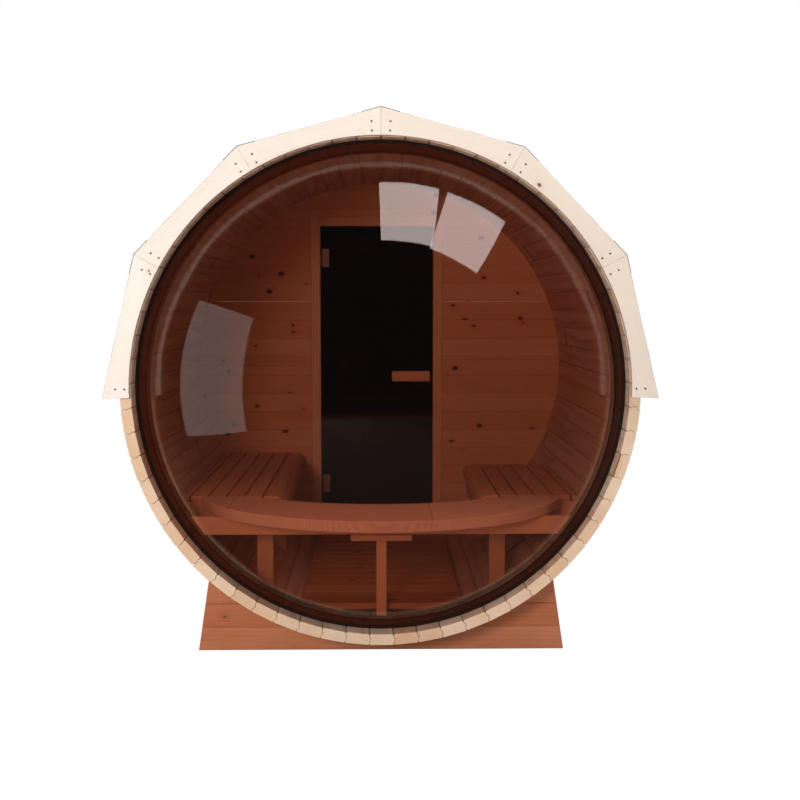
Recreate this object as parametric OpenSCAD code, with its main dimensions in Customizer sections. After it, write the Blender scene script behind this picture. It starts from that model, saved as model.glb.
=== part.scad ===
// Barrel sauna room with a domed window, a glass door, benches and a polygonal roof.
// Depth d is counted from the window-end stave ends towards the door.
// Heights inside the barrel are counted from the barrel's axis.

/* [Barrel] */
// Outer diameter of the barrel, across the stave joints
barrel_d = 1970; // [1600:10:2400]
// Length of the staves
barrel_len = 2100; // [1700:10:3000]
// Thickness of a stave
stave_t = 42; // [28:1:60]
// Number of stave groups round the barrel
group_count = 13; // [9:2:17]
// Staves in one group
group_size = 5; // [3:2:7]
// Joint between two staves
stave_gap = 0.3; // [0.2:0.1:1]
// Clearance between fitted pieces
fit = 0.25; // [0.1:0.05:0.4]

/* [Hoops] */
// Thickness of a steel hoop
hoop_t = 1.5; // [1:0.1:3]
// Width of a steel hoop
hoop_w = 30; // [20:1:50]
// Distance of the end hoops from the stave ends
hoop_inset = 120; // [60:5:200]
// Height of the tightening lugs
lug_h = 22; // [15:1:40]
// Angle of the tightening lugs below the horizontal
lug_angle = 25; // [15:1:35]

/* [Cradles] */
// Clearance between the ground and the barrel
ground_gap = 85; // [60:5:150]
// Height of one cradle board
cradle_board_h = 95; // [80:1:120]
// Boards stacked in a cradle
cradle_boards = 3; // [2:1:4]
// Thickness of a cradle
cradle_t = 60; // [40:5:100]
// Distance of a cradle's outer face from the stave ends
cradle_inset = 234; // [200:2:400]
// Half width of a cradle on the ground
cradle_half_w = 736; // [600:2:900]
// Slope of a cradle's ends from the vertical, in degrees
cradle_slope = 8.6; // [0:0.2:15]

/* [Roof] */
// Thickness of the roof deck
deck_t = 22; // [18:1:30]
// Thickness of the bitumen shingles
shingle_t = 4; // [3:0.5:6]
// Thickness of the fascia boards
fascia_t = 28; // [18:1:40]
// Distance of the roof's lower edges below the barrel axis
roof_drop = 31; // [0:1:60]
// Distance of the shingles from the fascia's front face
shingle_setback = 6; // [0:1:20]
// Half width of a roof batten, in degrees
batten_half = 4; // [2:0.5:6]

/* [Domed window] */
// Distance of the window flange behind the stave ends
window_setback = 87; // [50:1:150]
// Width of the flat flange round the dome, with its clearance in the barrel
flange_w = 41.6; // [30:0.1:120]
// Height of the dome above its flange
dome_depth = 550; // [450:5:650]
// Radius of the dome's shoulder
dome_shoulder_r = 220; // [150:5:300]
// Thickness of the acrylic
dome_t = 6; // [4:0.5:10]
// Depth of the wooden ring behind the flange
ring_t = 45; // [30:1:60]
// Width of the wooden ring
ring_w = 46; // [40:1:50]

/* [Door wall] */
// Distance of the door wall's inner face behind the window-end stave ends
wall_d = 1787; // [1400:1:1800]
// Thickness of the door wall
wall_t = 42; // [28:1:60]
// Depth of the groove that holds the door wall
groove_depth = 10; // [6:1:15]

/* [Door] */
// Width of the clear opening
door_w = 590; // [500:5:650]
// Height of the clear opening
door_h = 1525; // [1350:5:1530]
// Top of the clear opening above the barrel axis
door_top = 725; // [650:5:730]
// Distance of the door's middle from the barrel's middle
door_shift = -18; // [-30:1:30]
// Width of the frame's face
frame_w = 47; // [40:1:60]
// Depth of the frame
frame_d = 60; // [50:1:80]
// Amount that the frame stands proud of the wall inside
frame_proud = 6; // [0:1:10]
// Lap of the glass behind the frame's stop
glass_lap = 8; // [6:1:10]
// Thickness of the glass
glass_t = 8; // [6:1:10]
// Running clearance round the glass
glass_clear = 6; // [5:0.5:8]

/* [Door fittings] */
// Length of a handle
handle_len = 200; // [150:5:250]
// Height of a handle
handle_h = 54; // [40:1:60]
// Thickness of a handle
handle_t = 28; // [20:1:35]
// Clearance between a handle and the glass
handle_reach = 30; // [25:1:40]
// Distance of a handle from the edge of the clear opening
handle_inset = 16; // [12:1:40]
// Height of the handle's middle below the barrel axis
handle_drop = 60; // [0:5:150]
// Height of a hinge
hinge_h = 95; // [70:1:120]
// Distance of a hinge's middle from the end of the clear opening
hinge_inset = 165; // [120:5:300]
// Radius of a hinge knuckle
knuckle_r = 6; // [5:0.5:8]
// Radius of a hinge pin
pin_r = 3; // [2.5:0.5:4]

/* [Benches] */
// Height of the bench tops above the floor boards
seat_h = 395; // [340:5:450]
// Half width of the aisle
aisle_half = 400; // [350:5:450]
// Width of the rounded nosing
nose_w = 80; // [60:1:100]
// Height of the rounded nosing
nose_h = 60; // [50:1:80]
// Radius of the nosing's rounded edge
nose_r = 40; // [20:1:45]
// Width of a bench slat
slat_w = 66; // [50:1:90]
// Gap between bench slats
slat_gap = 8; // [5:1:15]
// Thickness of a bench slat
slat_t = 24; // [18:1:30]
// Where the side benches start, behind the stave ends
side_start = 340; // [320:5:400]
// Space left at the door end of the right bench
heater_space = 497; // [300:5:700]
// Thickness of bearers and rails
rail_t = 28; // [22:1:40]
// Height of bearers and rails
rail_h = 70; // [50:1:90]
// Width of a bench post
post_w = 65; // [45:1:80]
// Thickness of a bench post
post_t = 45; // [35:1:60]

/* [Window bench] */
// Thickness of the window bench top
top_t = 43; // [30:1:50]
// Reach of the bench in front of the stave ends
top_reach = 235; // [150:5:280]
// Radius of the bench's front edge
top_front_r = 760; // [740:5:900]
// Radius of the bench's rear edge
top_rear_r = 800; // [750:5:1000]
// Where the middle of the rear edge lies, behind the stave ends
top_rear_d = 144; // [100:2:200]
// Place of the left and right butt joints across the bench
top_joints = [-590, 186];
// Width of the bar on the middle support
support_bar_w = 240; // [150:5:350]
// Thickness of the bar on the middle support
support_bar_t = 25; // [18:1:35]
// Thickness of the middle support's post
support_post_w = 40; // [30:1:60]

/* [Floor] */
// Height of the floor boards' top below the barrel axis
floor_drop = 855; // [840:1:870]
// Thickness of the floor boards
floor_t = 26; // [20:1:30]
// Half width of the floor
floor_half = 318; // [250:2:325]
// Nominal pitch of the floor boards
floor_pitch = 99; // [80:1:130]
// Gap between floor boards
floor_gap = 4; // [2:1:10]
// Width of a floor bearer
floor_bearer_w = 45; // [35:1:60]
// Distance of a floor bearer's middle from the barrel's middle
floor_bearer_x = 200; // [150:5:240]

/* [Hidden] */
$fn = 180;
barrel_r = barrel_d / 2;
inner_r = barrel_r - stave_t;
stave_pitch = 360 / (group_count * group_size);
// Distance of the staves' flat inner faces from the axis
inner_flat = inner_r * cos(stave_pitch / 2);
bore_r = inner_flat - fit;
dome_r = bore_r - flange_w;
axis_z = barrel_r + ground_gap;

dome_reach = dome_depth - window_setback;
total_len = dome_reach + barrel_len + fit + fascia_t;
window_y = dome_reach - total_len / 2;

ring_d = window_setback + dome_t + fit;
ring_back = ring_d + ring_t;
ring_inner_r = bore_r - ring_w;

groove_r = inner_r + groove_depth;
wall_r = groove_r - fit;

hoop_r = barrel_r + fit;
hoop_outer_r = hoop_r + hoop_t;
hoop_places = [hoop_inset, (barrel_len - hoop_w) / 2, barrel_len - hoop_inset - hoop_w];
lug_t = 6;
lug_split = 14;
bolt_r = 4;
bolt_len = 2 * (lug_split + 2 * lug_t);

deck_in = hoop_outer_r + fit;
deck_out = deck_in + deck_t;
shingle_in = deck_out + fit;
shingle_out = shingle_in + shingle_t;
roof_sides = 6;
roof_low_angle = -asin(roof_drop / deck_out);
roof_step = (180 - 2 * roof_low_angle) / roof_sides;
mitre_off = roof_step / 2 - 0.012;
fascia_inner_r = inner_r + 1;

frame_in_d = wall_d - frame_proud;
frame_face_d = frame_in_d + frame_d;
stop_t = frame_d - glass_t - glass_clear;
frame_half = door_w / 2 + frame_w;
frame_low = door_top - door_h - frame_w;
frame_high = door_top + frame_w;
opening_left = door_shift - frame_half - fit;
opening_right = door_shift + frame_half + fit;
rebate = glass_lap + glass_clear;
glass_w = door_w + 2 * glass_lap;
glass_left = door_shift - glass_w / 2;
glass_low = door_top - door_h - glass_lap;
glass_inner_d = frame_face_d - glass_t;

pivot_x = glass_left - 2;
pivot_d = frame_face_d + 2 * knuckle_r;
hinge_plate_t = 4;
hinge_places = [door_top - hinge_inset, door_top - door_h + hinge_inset];
knuckle_gap = 1;
knuckle_h = (hinge_h - 2 * knuckle_gap) / 3;
pin_clear = 0.05;
web_half = 4;
web_reach = 12;
base_plate_w = 26;
leaf_plate_end = 54;
clamp_start = 17;
handle_left = door_shift + door_w / 2 - handle_inset - handle_len;
spacer_r = 10;
spacer_inset = 35;

floor_z = -floor_drop;
floor_start = ring_back + 2;
floor_run = wall_d - fit - floor_start;
floor_count = round(floor_run / floor_pitch);
floor_step = floor_run / floor_count;
floor_low = floor_z - floor_t;

bench_z = floor_z + seat_h;
slat_low = bench_z - slat_t;
slat_limit = sqrt(pow(bore_r, 2) - pow(slat_low, 2)) - 3;
slat_step = slat_w + slat_gap;
slat_first = aisle_half + nose_w + slat_gap;
slat_count = 1 + floor((slat_limit - slat_first - 20) / slat_step);
left_end = wall_d - fit;
right_end = wall_d - heater_space;
nose_low = bench_z - nose_h;
rail_high = slat_low - fit;
rail_low = rail_high - rail_h;
apron_x = aisle_half + 15;
post_x = apron_x + rail_t + fit;
bearer_x = aisle_half + nose_w + fit;
near_bearer_d = side_start + fit;
right_bearers = [near_bearer_d, right_end - rail_t - 60];
left_bearers = [near_bearer_d, (near_bearer_d + left_end) / 2, left_end - rail_t];
right_posts = right_bearers;
left_posts = [near_bearer_d, (near_bearer_d + left_end) / 2];

top_low = bench_z - top_t;
top_half = sqrt(pow(ring_inner_r, 2) - pow(top_low, 2)) - 15;
beam_d = ring_d + (ring_t - rail_t) / 2;
beam_high = top_low - fit;
beam_low = beam_high - rail_h;
support_mid_d = ring_d + ring_t / 2;
reach = 2 * barrel_d;

STAVES = [for (i = [1 : group_count]) str("stave_group_", i < 10 ? "0" : "", i)];

// An outline across the barrel, from depth d, len deep
module across(d, len) {
    translate([0, window_y + d + len, axis_z])
        rotate([90, 0, 0]) linear_extrude(len) children();
}

// An outline seen from above, from height z, t high
module plan(z, t) {
    translate([0, window_y, axis_z + z]) linear_extrude(t) children();
}

// A box by its low corner [x, depth, height] and size
module box_at(corner, size) {
    translate([corner[0], window_y + corner[1], axis_z + corner[2]]) cube(size);
}

// A vertical round bar at [x, depth], from height z, h high
module upright(x, d, z, h, r) {
    translate([x, window_y + d, axis_z + z]) cylinder(h = h, r = r);
}

// A round bar along the barrel at [x, height], from depth d
module along(x, d, z, len, r) {
    translate([x, window_y + d + len, axis_z + z]) rotate([90, 0, 0]) cylinder(h = len, r = r);
}

module stave_outline() {
    half = stave_pitch / 2;
    inner_y = inner_r * sin(half) - stave_gap / 2;
    outer_y = barrel_r * sin(half) - stave_gap / 2;
    outer_x = barrel_r * cos(half);
    polygon([[inner_flat, -inner_y], [outer_x, -outer_y], [outer_x, outer_y], [inner_flat, inner_y]]);
}

// Group 1 lies at the bottom, and the others follow anticlockwise seen from the window
module stave_group(group) {
    middle = -90 + (group - 1) * group_size * stave_pitch;
    side = (group_size - 1) / 2;
    color("navajowhite") difference() {
        for (i = [-side : side])
            across(0, barrel_len) rotate(middle + i * stave_pitch) stave_outline();
        across(wall_d - fit, wall_t + 2 * fit) circle(groove_r);
    }
}

module window_ring() {
    color("peru") across(ring_d, ring_t) difference() {
        circle(bore_r);
        circle(ring_inner_r);
    }
}

// Points of an arc, with angles in degrees
function arc(centre, r, from, to, steps) =
    [for (i = [0 : steps]) let (a = from + (to - from) * i / steps) centre + r * [cos(a), sin(a)]];

// The dome's outline from its apex to its flange: a crown arc that runs into a shoulder arc
function dome_outline(inset) =
    let (
        shoulder_x = dome_r - dome_shoulder_r,
        crown_r = (pow(shoulder_x, 2) + pow(dome_depth, 2) - pow(dome_shoulder_r, 2))
            / (2 * (dome_depth - dome_shoulder_r)),
        crown_y = dome_depth - crown_r,
        tangent = atan2(-crown_y, shoulder_x)
    )
    concat(
        arc([0, crown_y], crown_r - inset, 90, tangent, 24),
        arc([shoulder_x, 0], dome_shoulder_r - inset, tangent - 2, 0, 14)
    );

module dome_window() {
    outer = dome_outline(0);
    inner = dome_outline(dome_t);
    flange = [[bore_r - 4, 0], [bore_r - 4, -dome_t], [dome_r - dome_t, -dome_t]];
    color([0.45, 0.25, 0.18, 0.45])
        translate([0, window_y + window_setback, axis_z]) rotate([90, 0, 0])
            rotate_extrude()
                polygon(concat(outer, flange, [for (i = [len(inner) - 1 : -1 : 0]) inner[i]]));
}

// A point of the roof's outline, off degrees from the middle of a side
function side_point(middle, off, apothem) =
    apothem / cos(off) * [cos(middle + off), sin(middle + off)];
function side_middle(k) = roof_low_angle + (k + 0.5) * roof_step;
function roof_vertex(k, apothem) =
    apothem / cos(roof_step / 2) * [cos(roof_low_angle + k * roof_step), sin(roof_low_angle + k * roof_step)];

module fascia(d) {
    color("oldlace") across(d, fascia_t)
        for (k = [0 : roof_sides - 1]) difference() {
            polygon([[0, 0],
                side_point(side_middle(k), -mitre_off, deck_out),
                side_point(side_middle(k), mitre_off, deck_out)]);
            circle(fascia_inner_r);
        }
}

module roof_deck() {
    color("burlywood") across(0, barrel_len)
        for (k = [0 : roof_sides - 1]) let (m = side_middle(k))
            polygon([side_point(m, -mitre_off, deck_in), side_point(m, -mitre_off, deck_out),
                side_point(m, mitre_off, deck_out), side_point(m, mitre_off, deck_in)]);
}

// A batten fills the corner between the barrel and two deck panels
module roof_battens() {
    under = deck_in - fit;
    side = roof_step / 2 - batten_half;
    color("tan") across(0, barrel_len)
        for (k = [0 : roof_sides]) difference() {
            polygon(concat([[0, 0]],
                k > 0 ? [side_point(side_middle(k - 1), side, under)] : [],
                [roof_vertex(k, under)],
                k < roof_sides ? [side_point(side_middle(k), -side, under)] : []));
            circle(hoop_outer_r + fit);
        }
}

module roof_shingles() {
    start = shingle_setback - fascia_t - fit;
    color("darkslategray") across(start, barrel_len - 2 * start)
        polygon(concat(
            [for (k = [0 : roof_sides]) roof_vertex(k, shingle_out)],
            [for (k = [roof_sides : -1 : 0]) roof_vertex(k, shingle_in)]));
}

module hoop(d) {
    across(d, hoop_w) {
        difference() {
            circle(hoop_outer_r);
            circle(hoop_r);
        }
        for (side = [-1, 1])
            rotate(-lug_angle) translate([hoop_outer_r - hoop_t / 2, side * lug_split - lug_t / 2])
                square([lug_h, lug_t]);
    }
    translate([0, window_y + d + hoop_w / 2, axis_z]) rotate([0, lug_angle, 0])
        translate([hoop_outer_r + lug_h * 0.6, 0, 0])
            cylinder(h = bolt_len, r = bolt_r, center = true);
}

module steel_hoops() {
    color("silver") for (d = hoop_places) hoop(d);
}

module cradle(d) {
    lean = tan(cradle_slope);
    color("sienna") for (i = [0 : cradle_boards - 1]) across(d, cradle_t) difference() {
        low = i * cradle_board_h;
        high = low + cradle_board_h - fit;
        translate([0, -axis_z]) polygon([
            [lean * low - cradle_half_w, low], [cradle_half_w - lean * low, low],
            [cradle_half_w - lean * high, high], [lean * high - cradle_half_w, high]]);
        circle(barrel_r + fit);
    }
}

// A rectangle across the barrel by its limits
module limits(x_low, x_high, z_low, z_high) {
    translate([x_low, z_low]) square([x_high - x_low, z_high - z_low]);
}

module door_wall(x_low, x_high, z_low, z_high) {
    color("sandybrown") across(wall_d, wall_t) intersection() {
        circle(wall_r);
        limits(x_low, x_high, z_low, z_high);
    }
}

// One half of the frame's outline from above, mirrored for the other jamb
module jamb_outline() {
    half = door_w / 2;
    polygon([[half, frame_in_d], [half, frame_in_d + stop_t],
        [half + rebate, frame_in_d + stop_t], [half + rebate, frame_face_d],
        [frame_half, frame_face_d], [frame_half, frame_in_d]]);
}

module door_jambs() {
    color("tan") plan(frame_low, frame_high - frame_low) translate([door_shift, 0]) {
        jamb_outline();
        mirror([1, 0]) jamb_outline();
    }
}

// A cross piece of the frame between the jambs; up is 1 over the door and -1 under it
module door_cross_piece(edge, up) {
    half = door_w / 2 - fit;
    low = up > 0 ? edge : edge - frame_w;
    color("tan") difference() {
        box_at([door_shift - half, frame_in_d, low], [2 * half, frame_d, frame_w]);
        box_at([door_shift - half - 1, frame_in_d + stop_t, up > 0 ? edge - 1 : edge - rebate],
            [2 * half + 2, frame_d, rebate + 1]);
    }
}

module door_glass() {
    color([0.08, 0.05, 0.05, 0.8])
        box_at([glass_left, glass_inner_d, glass_low], [glass_w, glass_t, door_h + 2 * glass_lap]);
}

// A handle with two round spacers; side is -1 inside and 1 outside
module door_handle(side) {
    face = side > 0 ? frame_face_d + fit : glass_inner_d - fit - handle_reach;
    bar = side > 0 ? frame_face_d + handle_reach : glass_inner_d - handle_reach - handle_t;
    color("burlywood") {
        box_at([handle_left, bar, -handle_drop - handle_h / 2], [handle_len, handle_t, handle_h]);
        for (x = [handle_left + spacer_inset, handle_left + handle_len - spacer_inset])
            along(x, side > 0 ? face : bar + handle_t / 2, -handle_drop,
                handle_reach + (side > 0 ? 0 : handle_t / 2), spacer_r);
    }
}

// The leaf carries the middle knuckle and clamps the glass between two plates
module hinge_leaf(z) {
    low = z - hinge_h / 2;
    knuckle_low = low + knuckle_h + knuckle_gap;
    difference() {
        union() {
            upright(pivot_x, pivot_d, knuckle_low, knuckle_h, knuckle_r);
            box_at([pivot_x, pivot_d - web_half, knuckle_low], [web_reach, 2 * web_half, knuckle_h]);
            box_at([pivot_x + web_reach - web_half, frame_face_d + fit, knuckle_low],
                [web_half, 2 * knuckle_r, knuckle_h]);
            box_at([pivot_x + web_reach - web_half, frame_face_d + fit, low],
                [leaf_plate_end - web_reach + web_half, hinge_plate_t, hinge_h]);
        }
        upright(pivot_x, pivot_d, knuckle_low - 1, knuckle_h + 2, pin_r + pin_clear);
    }
    box_at([pivot_x + clamp_start, glass_inner_d - fit - hinge_plate_t, low],
        [leaf_plate_end - clamp_start, hinge_plate_t, hinge_h]);
}

module hinge_leaves() {
    color("silver") for (z = hinge_places) hinge_leaf(z);
}

// The base carries the pin and the two outer knuckles
module hinge_base(z) {
    low = z - hinge_h / 2;
    upright(pivot_x, pivot_d, low, hinge_h, pin_r);
    for (k = [low, low + hinge_h - knuckle_h]) {
        upright(pivot_x, pivot_d, k, knuckle_h, knuckle_r);
        box_at([pivot_x - web_reach, pivot_d - web_half, k], [web_reach, 2 * web_half, knuckle_h]);
        box_at([pivot_x - web_reach, frame_face_d + fit, k], [web_half, 2 * knuckle_r, knuckle_h]);
    }
    box_at([pivot_x - web_reach + web_half - base_plate_w, frame_face_d + fit, low],
        [base_plate_w, hinge_plate_t, hinge_h]);
}

module hinge_bases() {
    color("silver") for (z = hinge_places) hinge_base(z);
}

// The nosing's outline, rounded over towards the aisle
module nose_outline() {
    intersection() {
        limits(aisle_half, aisle_half + nose_w, nose_low, bench_z);
        union() {
            limits(aisle_half + nose_r, aisle_half + nose_w, nose_low, bench_z);
            limits(aisle_half, aisle_half + nose_w, nose_low, bench_z - nose_r);
            translate([aisle_half + nose_r, bench_z - nose_r]) circle(nose_r);
        }
    }
}

// The right bench's nosing and slats, mirrored for the left bench
module side_bench(end) {
    across(side_start, end - side_start) {
        nose_outline();
        for (i = [0 : slat_count - 1]) let (x = slat_first + i * slat_step)
            limits(x, min(x + slat_w, slat_limit), slat_low, bench_z);
    }
}

// Cross bearers reach from the nosing to the staves
module side_bench_frame(places, end) {
    for (d = places) across(d, rail_t) intersection() {
        circle(bore_r);
        limits(bearer_x, barrel_r, rail_low, rail_high);
    }
    box_at([apron_x, near_bearer_d, nose_low - fit - rail_h], [rail_t, end - near_bearer_d, rail_h]);
}

// A post's foot is cut to the staves
module posts(places) {
    for (d = places) across(d + rail_t / 2 - post_t / 2, post_t) intersection() {
        circle(bore_r);
        limits(post_x, post_x + post_w, -barrel_r, rail_low - fit);
    }
}

module left_side() {
    mirror([1, 0, 0]) children();
}

module bench_posts() {
    color("burlywood") {
        posts(right_posts);
        left_side() posts(left_posts);
    }
}

// The window bench's outline: a curved front in the dome and a curved rear at the aisle
module top_outline() {
    difference() {
        intersection() {
            translate([0, top_front_r - top_reach]) circle(top_front_r);
            translate([-top_half, -top_reach - 1])
                square([2 * top_half, top_reach + 1 + side_start - fit]);
        }
        translate([0, top_rear_d + top_rear_r]) circle(top_rear_r);
    }
}

module window_bench_top() {
    edges = concat([-reach], top_joints, [reach]);
    color("rosybrown") for (i = [0 : len(edges) - 2]) plan(top_low, top_t) intersection() {
        top_outline();
        translate([edges[i] + fit / 2, -reach]) square([edges[i + 1] - edges[i] - fit, 2 * reach]);
    }
}

// The beam spans the wooden ring under the bench top
module window_bench_beam() {
    color("burlywood") across(beam_d, rail_t) intersection() {
        circle(ring_inner_r - fit);
        limits(-barrel_r, barrel_r, beam_low, beam_high);
    }
}

module window_bench_support() {
    bar_high = beam_low - fit;
    color("burlywood") {
        across(support_mid_d - support_post_w / 2, support_post_w) {
            limits(-support_bar_w / 2, support_bar_w / 2, bar_high - support_bar_t, bar_high);
            intersection() {
                circle(ring_inner_r - fit);
                limits(-support_post_w / 2, support_post_w / 2, -barrel_r, bar_high);
            }
        }
    }
}

module floor_boards() {
    color("peru") for (i = [0 : floor_count - 1])
        box_at([-floor_half, floor_start + i * floor_step, floor_low],
            [2 * floor_half, floor_step - floor_gap, floor_t]);
}

module floor_bearers() {
    color("peru") across(floor_start, floor_run) for (side = [-1, 1]) intersection() {
        circle(bore_r);
        translate([side * floor_bearer_x - floor_bearer_w / 2, -barrel_r])
            square([floor_bearer_w, barrel_r + floor_low - fit]);
    }
}

for (i = [1 : group_count]) stave_group(i);
window_ring();
fascia(-fascia_t - fit);  // window_fascia
fascia(barrel_len + fit);  // door_fascia
roof_deck();
roof_battens();
roof_shingles();
steel_hoops();
cradle(cradle_inset);  // window_cradle
cradle(barrel_len - cradle_inset - cradle_t);  // door_cradle
door_wall(-barrel_r, opening_left, -barrel_r, barrel_r);  // door_wall_left
door_wall(opening_right, barrel_r, -barrel_r, barrel_r);  // door_wall_right
door_wall(opening_left + fit, opening_right - fit, frame_high + fit, barrel_r);  // door_wall_over
door_wall(opening_left + fit, opening_right - fit, -barrel_r, frame_low - fit);  // door_wall_under
door_jambs();
door_cross_piece(door_top, 1);  // door_head
door_cross_piece(door_top - door_h, -1);  // door_sill
door_glass();
door_handle(-1);  // inner_handle
door_handle(1);  // outer_handle
hinge_leaves();
hinge_bases();
color("burlywood") left_side() side_bench(left_end);  // left_bench
color("burlywood") side_bench(right_end);  // right_bench
color("burlywood") left_side() side_bench_frame(left_bearers, left_end);  // left_bench_frame
color("burlywood") side_bench_frame(right_bearers, right_end);  // right_bench_frame
bench_posts();
window_bench_top();
window_bench_beam();
window_bench_support();
floor_boards();
floor_bearers();
dome_window();
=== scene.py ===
"""Looks of the barrel sauna room: boards, shingles, smoked dome, glass door and steel fittings around the frame."""

import math
import random

import bpy
from mathutils import Matrix, Vector


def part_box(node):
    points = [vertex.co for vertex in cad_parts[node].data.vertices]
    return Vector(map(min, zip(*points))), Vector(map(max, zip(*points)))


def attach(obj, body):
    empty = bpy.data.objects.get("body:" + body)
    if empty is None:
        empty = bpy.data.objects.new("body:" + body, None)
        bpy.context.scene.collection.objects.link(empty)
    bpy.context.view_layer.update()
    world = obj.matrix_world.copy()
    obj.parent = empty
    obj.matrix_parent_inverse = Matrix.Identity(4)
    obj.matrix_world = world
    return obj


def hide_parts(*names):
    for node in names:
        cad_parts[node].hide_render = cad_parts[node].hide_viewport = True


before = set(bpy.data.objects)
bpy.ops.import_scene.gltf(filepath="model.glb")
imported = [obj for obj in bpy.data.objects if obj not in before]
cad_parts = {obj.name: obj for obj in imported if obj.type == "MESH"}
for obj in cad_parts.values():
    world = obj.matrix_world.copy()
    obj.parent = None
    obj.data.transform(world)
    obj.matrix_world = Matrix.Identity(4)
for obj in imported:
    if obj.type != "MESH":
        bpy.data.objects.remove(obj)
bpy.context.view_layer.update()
scene = bpy.context.scene
random.seed(7)

# Places that everything else is worked out from, in metres
STAVE_LOW, STAVE_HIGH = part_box("stave_group_01")
RING_LOW, RING_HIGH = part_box("window_ring")
WINDOW_Y = STAVE_LOW.y
DOOR_END_Y = STAVE_HIGH.y
AXIS_Z = (RING_LOW.z + RING_HIGH.z) / 2
BORE_R = (RING_HIGH.z - RING_LOW.z) / 2
FIT = 0.00025
STAVE_T = 0.042
STAVE_COUNT = 65
STAVE_STEP = 2 * math.pi / STAVE_COUNT
OUTER_FLAT = AXIS_Z - STAVE_LOW.z
INNER_FLAT = BORE_R + FIT
BARREL_R = OUTER_FLAT / math.cos(STAVE_STEP / 2)
RING_INNER_R = BORE_R - 0.046
CABIN = "cabin"
DOOR = "door"


# ---------------------------------------------------------------- camera

CAMERA_DISTANCE = 4.5
CAMERA_SIDE = -0.0125
CAMERA_RISE = 0.33
CAMERA_YAW = math.radians(1.055)
CAMERA_PITCH = math.radians(4.69)
CAMERA_LENS = 53.8


def make_camera():
    data = bpy.data.cameras.new("camera")
    data.lens = CAMERA_LENS
    data.sensor_width = 36
    camera = bpy.data.objects.new("camera", data)
    scene.collection.objects.link(camera)
    camera.location = (CAMERA_SIDE, WINDOW_Y - CAMERA_DISTANCE, AXIS_Z + CAMERA_RISE)
    camera.rotation_euler = (math.pi / 2 - CAMERA_PITCH, 0, -CAMERA_YAW)
    scene.camera = camera


# ---------------------------------------------------------------- materials


class Tree:
    """Short ways to add shader nodes; an input may be a value or another node's socket."""

    def __init__(self, name):
        self.material = bpy.data.materials.new(name)
        self.material.use_nodes = True
        self.nodes = self.material.node_tree.nodes
        self.links = self.material.node_tree.links
        self.nodes.clear()

    def add(self, kind, inputs=(), **settings):
        made = self.nodes.new("ShaderNode" + kind)
        for name, value in settings.items():
            setattr(made, name, value)
        for key, value in dict(inputs).items():
            if isinstance(value, bpy.types.NodeSocket):
                self.links.new(value, made.inputs[key])
            else:
                made.inputs[key].default_value = value
        return made

    def math(self, operation, a, b=0.0, c=0.0):
        return self.add("Math", {0: a, 1: b, 2: c}, operation=operation).outputs[0]

    def vector(self, operation, a, b=(0, 0, 0)):
        made = self.add("VectorMath", {0: a, 1: b}, operation=operation)
        return made.outputs["Value" if operation == "LENGTH" else "Vector"]

    def noise(self, vector, detail=2.0, rough=0.5):
        return self.add("TexNoise", {"Vector": vector, "Scale": 1.0, "Detail": detail, "Roughness": rough})

    def ramp(self, value, low, high):
        """0 below low and 1 above high, with a smooth step between."""
        made = self.add(
            "MapRange", {"Value": value, "From Min": low, "From Max": high}, interpolation_type="SMOOTHSTEP"
        )
        return made.outputs["Result"]

    def mix(self, amount, a, b):
        made = self.add("Mix", {0: amount, 6: a, 7: b}, data_type="RGBA")
        return made.outputs[2]

    def finish(self, shader):
        self.add("OutputMaterial", {"Surface": shader})
        return self.material


def colour(r, g, b):
    """An sRGB colour from 0 to 255 as the linear colour that the shaders take."""
    parts = [c / 255 for c in (r, g, b)]
    return tuple(c / 12.92 if c < 0.04045 else ((c + 0.055) / 1.055) ** 2.4 for c in parts) + (1,)


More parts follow.
